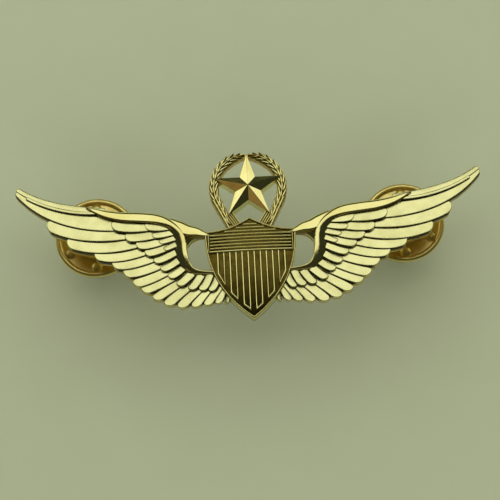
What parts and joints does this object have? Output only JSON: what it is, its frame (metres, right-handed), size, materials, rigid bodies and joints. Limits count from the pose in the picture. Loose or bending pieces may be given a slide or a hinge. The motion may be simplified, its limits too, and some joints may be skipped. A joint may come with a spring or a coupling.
{
  "type": "pilot wings pin",
  "caption": "Gold-plated pilot wings badge with shield, star and wreath, held on cloth by two posts and pinch-release butterfly clutches.",
  "frame": {"origin": "middle of the shield's flat back face", "axes": "+X along the wing span to the viewer's right, +Y up from the shield's point to the star, +Z out of the front of the badge"},
  "size_m": [0.0634, 0.0236, 0.0114],
  "materials": {
    "wing_gold": "gold-plated brass, satin feathers with polished edges",
    "shield_gold": "gold-plated brass, polished relief over a matt field",
    "wreath_gold": "gold-plated brass, polished leaves",
    "star_gold": "gold-plated brass, mirror polish",
    "post_brass": "plated brass wire, brazed at its foot",
    "clutch_brass": "pressed brass sheet, lacquered",
    "spring_wire": "drawn spring wire"
  },
  "bodies": {
    "emblem": {"left_wing": "wing_gold", "right_wing": "wing_gold", "shield": "shield_gold", "wreath": "wreath_gold", "star": "star_gold", "left_post": "post_brass", "right_post": "post_brass"},
    "left_catch": {"left_clutch_spring": "spring_wire"},
    "left_shell": {"left_clutch_disc": "clutch_brass", "left_clutch_housing": "clutch_brass"},
    "left_upper_pinch": {"left_upper_tab": "clutch_brass"},
    "left_lower_pinch": {"left_lower_tab": "clutch_brass"},
    "right_catch": {"right_clutch_spring": "spring_wire"},
    "right_shell": {"right_clutch_disc": "clutch_brass", "right_clutch_housing": "clutch_brass"},
    "right_upper_pinch": {"right_upper_tab": "clutch_brass"},
    "right_lower_pinch": {"right_lower_tab": "clutch_brass"}
  },
  "joints": [
    {"name": "left_clutch_slide", "type": "slide", "parent": "emblem", "child": "left_catch", "axis": [0, 0, -1], "range_m": [0, 0.006]},
    {"name": "left_clutch_turn", "type": "hinge", "parent": "left_catch", "child": "left_shell", "pos_m": [-0.0212, 0.007, 0], "axis": [0, 0, 1], "continuous": true},
    {"name": "left_upper_squeeze", "type": "hinge", "parent": "left_shell", "child": "left_upper_pinch", "pos_m": [-0.0212, 0.0101, -0.00474], "axis": [-1, 0, 0], "range_deg": [0, 12], "stiffness_Nm_per_rad": 0.02},
    {"name": "left_lower_squeeze", "type": "hinge", "parent": "left_shell", "child": "left_lower_pinch", "pos_m": [-0.0212, 0.0039, -0.00474], "axis": [1, 0, 0], "range_deg": [0, 12], "stiffness_Nm_per_rad": 0.02},
    {"name": "right_clutch_slide", "type": "slide", "parent": "emblem", "child": "right_catch", "axis": [0, 0, -1], "range_m": [0, 0.006]},
    {"name": "right_clutch_turn", "type": "hinge", "parent": "right_catch", "child": "right_shell", "pos_m": [0.0212, 0.007, 0], "axis": [0, 0, 1], "continuous": true},
    {"name": "right_upper_squeeze", "type": "hinge", "parent": "right_shell", "child": "right_upper_pinch", "pos_m": [0.0212, 0.0101, -0.00474], "axis": [-1, 0, 0], "range_deg": [0, 12], "stiffness_Nm_per_rad": 0.02},
    {"name": "right_lower_squeeze", "type": "hinge", "parent": "right_shell", "child": "right_lower_pinch", "pos_m": [0.0212, 0.0039, -0.00474], "axis": [1, 0, 0], "range_deg": [0, 12], "stiffness_Nm_per_rad": 0.02}
  ]
}
